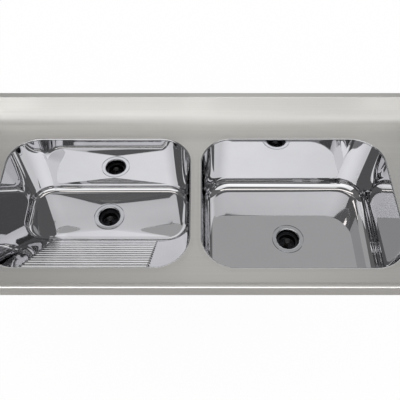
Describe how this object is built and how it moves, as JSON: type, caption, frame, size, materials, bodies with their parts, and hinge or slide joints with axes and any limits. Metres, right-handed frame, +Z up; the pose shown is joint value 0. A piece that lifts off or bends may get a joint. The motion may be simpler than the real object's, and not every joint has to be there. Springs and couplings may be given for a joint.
{
  "type": "laundry sink",
  "caption": "Stainless double-bowl laundry sink top: deep tub with a washboard and offset waste, rinsing bowl, raised drip edge and upstand, basket wastes",
  "frame": {"origin": "middle of the footprint, on the plane where the folded rim and the rails rest on the cabinet", "axes": "+X along the length to the user's right, +Y to the wall behind, +Z up"},
  "size_m": [1.2, 0.56, 0.4425],
  "materials": {
    "brushed_sheet": "sheet steel with a fine lengthwise brushing",
    "bright_sheet": "sheet steel polished to a mirror",
    "bright_fitting": "polished pressed waste fitting",
    "plain_steel": "mill-finish folded sheet",
    "black_rubber": "smooth moulded rubber",
    "grey_pad": "dull bitumen-like damping sheet",
    "black_plastic": "fine matt moulding",
    "white_plastic": "fine matt moulding",
    "fibre": "pressed fibre",
    "brass_nut": "turned"
  },
  "bodies": {
    "sink": {"worktop": "brushed_sheet", "left_bowl": "bright_sheet", "right_bowl": "bright_sheet", "left_damping_pad": "grey_pad", "right_damping_pad": "grey_pad", "front_rail": "plain_steel", "rear_rail": "plain_steel", "left_rail": "plain_steel", "right_rail": "plain_steel", "centre_rail": "plain_steel", "fixing_lugs": "plain_steel", "left_strainer_cup": "bright_fitting", "left_flange_seal": "black_rubber", "left_floor_gasket": "black_rubber", "left_friction_washer": "fibre", "left_lock_nut": "white_plastic", "left_tail_washer": "black_rubber", "left_coupling_nut": "white_plastic", "left_tailpiece": "white_plastic", "right_strainer_cup": "bright_fitting", "right_flange_seal": "black_rubber", "right_floor_gasket": "black_rubber", "right_friction_washer": "fibre", "right_lock_nut": "white_plastic", "right_tail_washer": "black_rubber", "right_coupling_nut": "white_plastic", "right_tailpiece": "white_plastic"},
    "left_basket": {"left_basket": "bright_fitting"},
    "left_stopper": {"left_stopper_stem": "brass_nut", "left_stopper_disc": "black_rubber", "left_stopper_knob": "black_plastic", "left_stem_nut": "brass_nut"},
    "right_basket": {"right_basket": "bright_fitting"},
    "right_stopper": {"right_stopper_stem": "brass_nut", "right_stopper_disc": "black_rubber", "right_stopper_knob": "black_plastic", "right_stem_nut": "brass_nut"}
  },
  "joints": [
    {"name": "left_basket_lift", "type": "slide", "parent": "sink", "child": "left_basket", "axis": [0, 0, 1], "range_m": [0, 0.3]},
    {"name": "left_stopper_lift", "type": "slide", "parent": "left_basket", "child": "left_stopper", "axis": [0, 0, 1], "range_m": [0, 0.0055]},
    {"name": "right_basket_lift", "type": "slide", "parent": "sink", "child": "right_basket", "axis": [0, 0, 1], "range_m": [0, 0.3]},
    {"name": "right_stopper_lift", "type": "slide", "parent": "right_basket", "child": "right_stopper", "axis": [0, 0, 1], "range_m": [0, 0.0055]}
  ]
}
